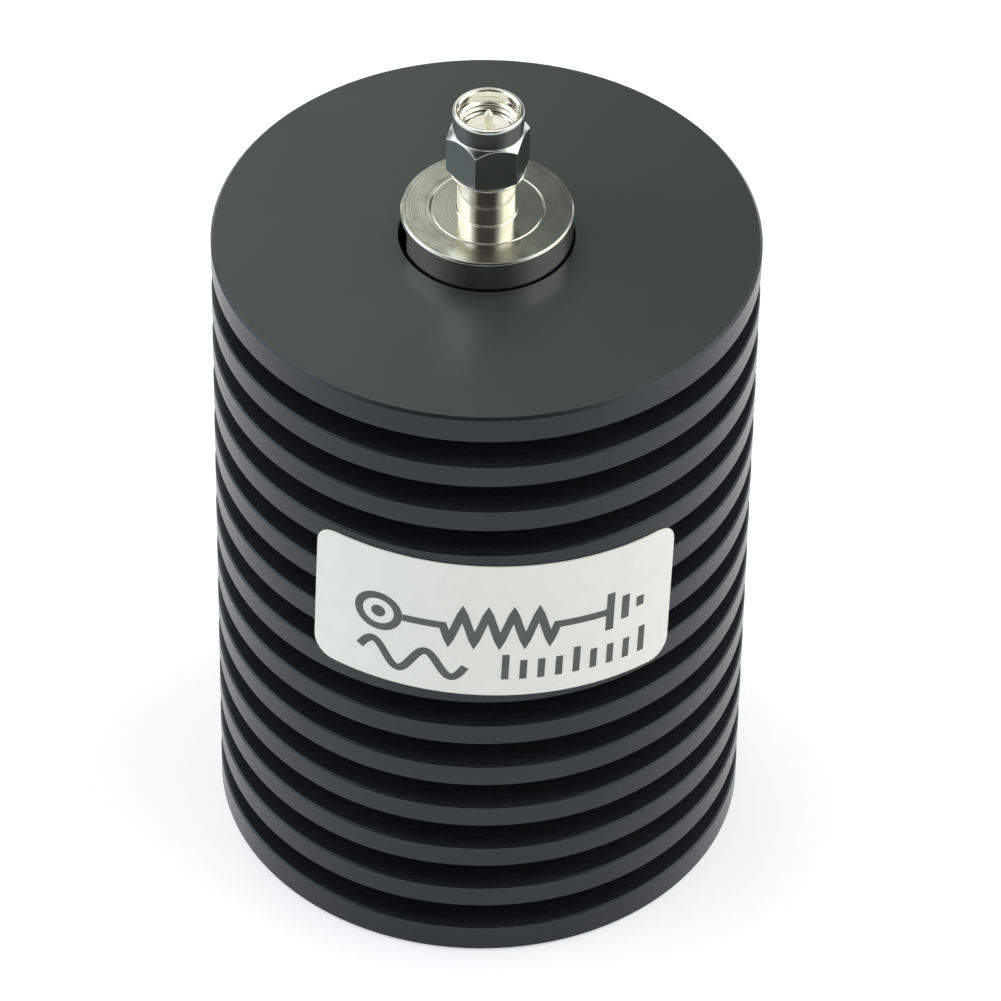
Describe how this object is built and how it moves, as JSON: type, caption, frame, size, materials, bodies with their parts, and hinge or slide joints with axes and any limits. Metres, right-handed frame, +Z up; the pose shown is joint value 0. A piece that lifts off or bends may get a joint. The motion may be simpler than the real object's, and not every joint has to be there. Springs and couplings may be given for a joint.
{
  "type": "rf dummy load",
  "caption": "Cylindrical coaxial dummy load: a black finned heat sink that stands on its base, with a nickel-plated screw-on coaxial plug on top and a plain label on the fins.",
  "frame": {"origin": "centre of the flat base", "axes": "+Z up along the common axis of the heat sink and the plug, -Y towards the side that carries the label"},
  "size_m": [0.06, 0.0602, 0.0991],
  "materials": {
    "black_anodise": "black anodised, satin, turned",
    "nickel_housing": "nickel plated, turned and polished",
    "nickel_body": "nickel plated, polished",
    "nickel_nut": "nickel plated, polished",
    "spring_bronze": "bare spring bronze",
    "red_silicone": "matt silicone rubber",
    "white_insulator": "machined fluoroplastic",
    "plated_contact": "gold flash over nickel",
    "bare_copper": "turned copper",
    "plated_copper": "nickel plated copper",
    "chip_ceramic": "fired aluminium nitride",
    "lid_ceramic": "fired alumina",
    "silver_ribbon": "bright silver",
    "screw_steel": "bright steel",
    "label_paper": "coated paper sticker, slightly glossy"
  },
  "bodies": {
    "load": {"heat_sink": "black_anodise", "load_housing": "nickel_housing", "connector_body": "nickel_body", "retaining_ring": "spring_bronze", "gasket": "red_silicone", "insulator": "white_insulator", "centre_contact": "plated_contact", "carrier": "bare_copper", "termination_flange": "plated_copper", "chip": "chip_ceramic", "chip_lid": "lid_ceramic", "ribbon_lead": "silver_ribbon", "flange_screw": "screw_steel", "rating_label": "label_paper"},
    "nut": {"coupling_nut": "nickel_nut"}
  },
  "joints": [
    {"name": "nut_spin", "type": "hinge", "parent": "load", "child": "nut", "pos_m": [0, 0, 0.09115], "axis": [0, 0, 1], "continuous": true}
  ]
}
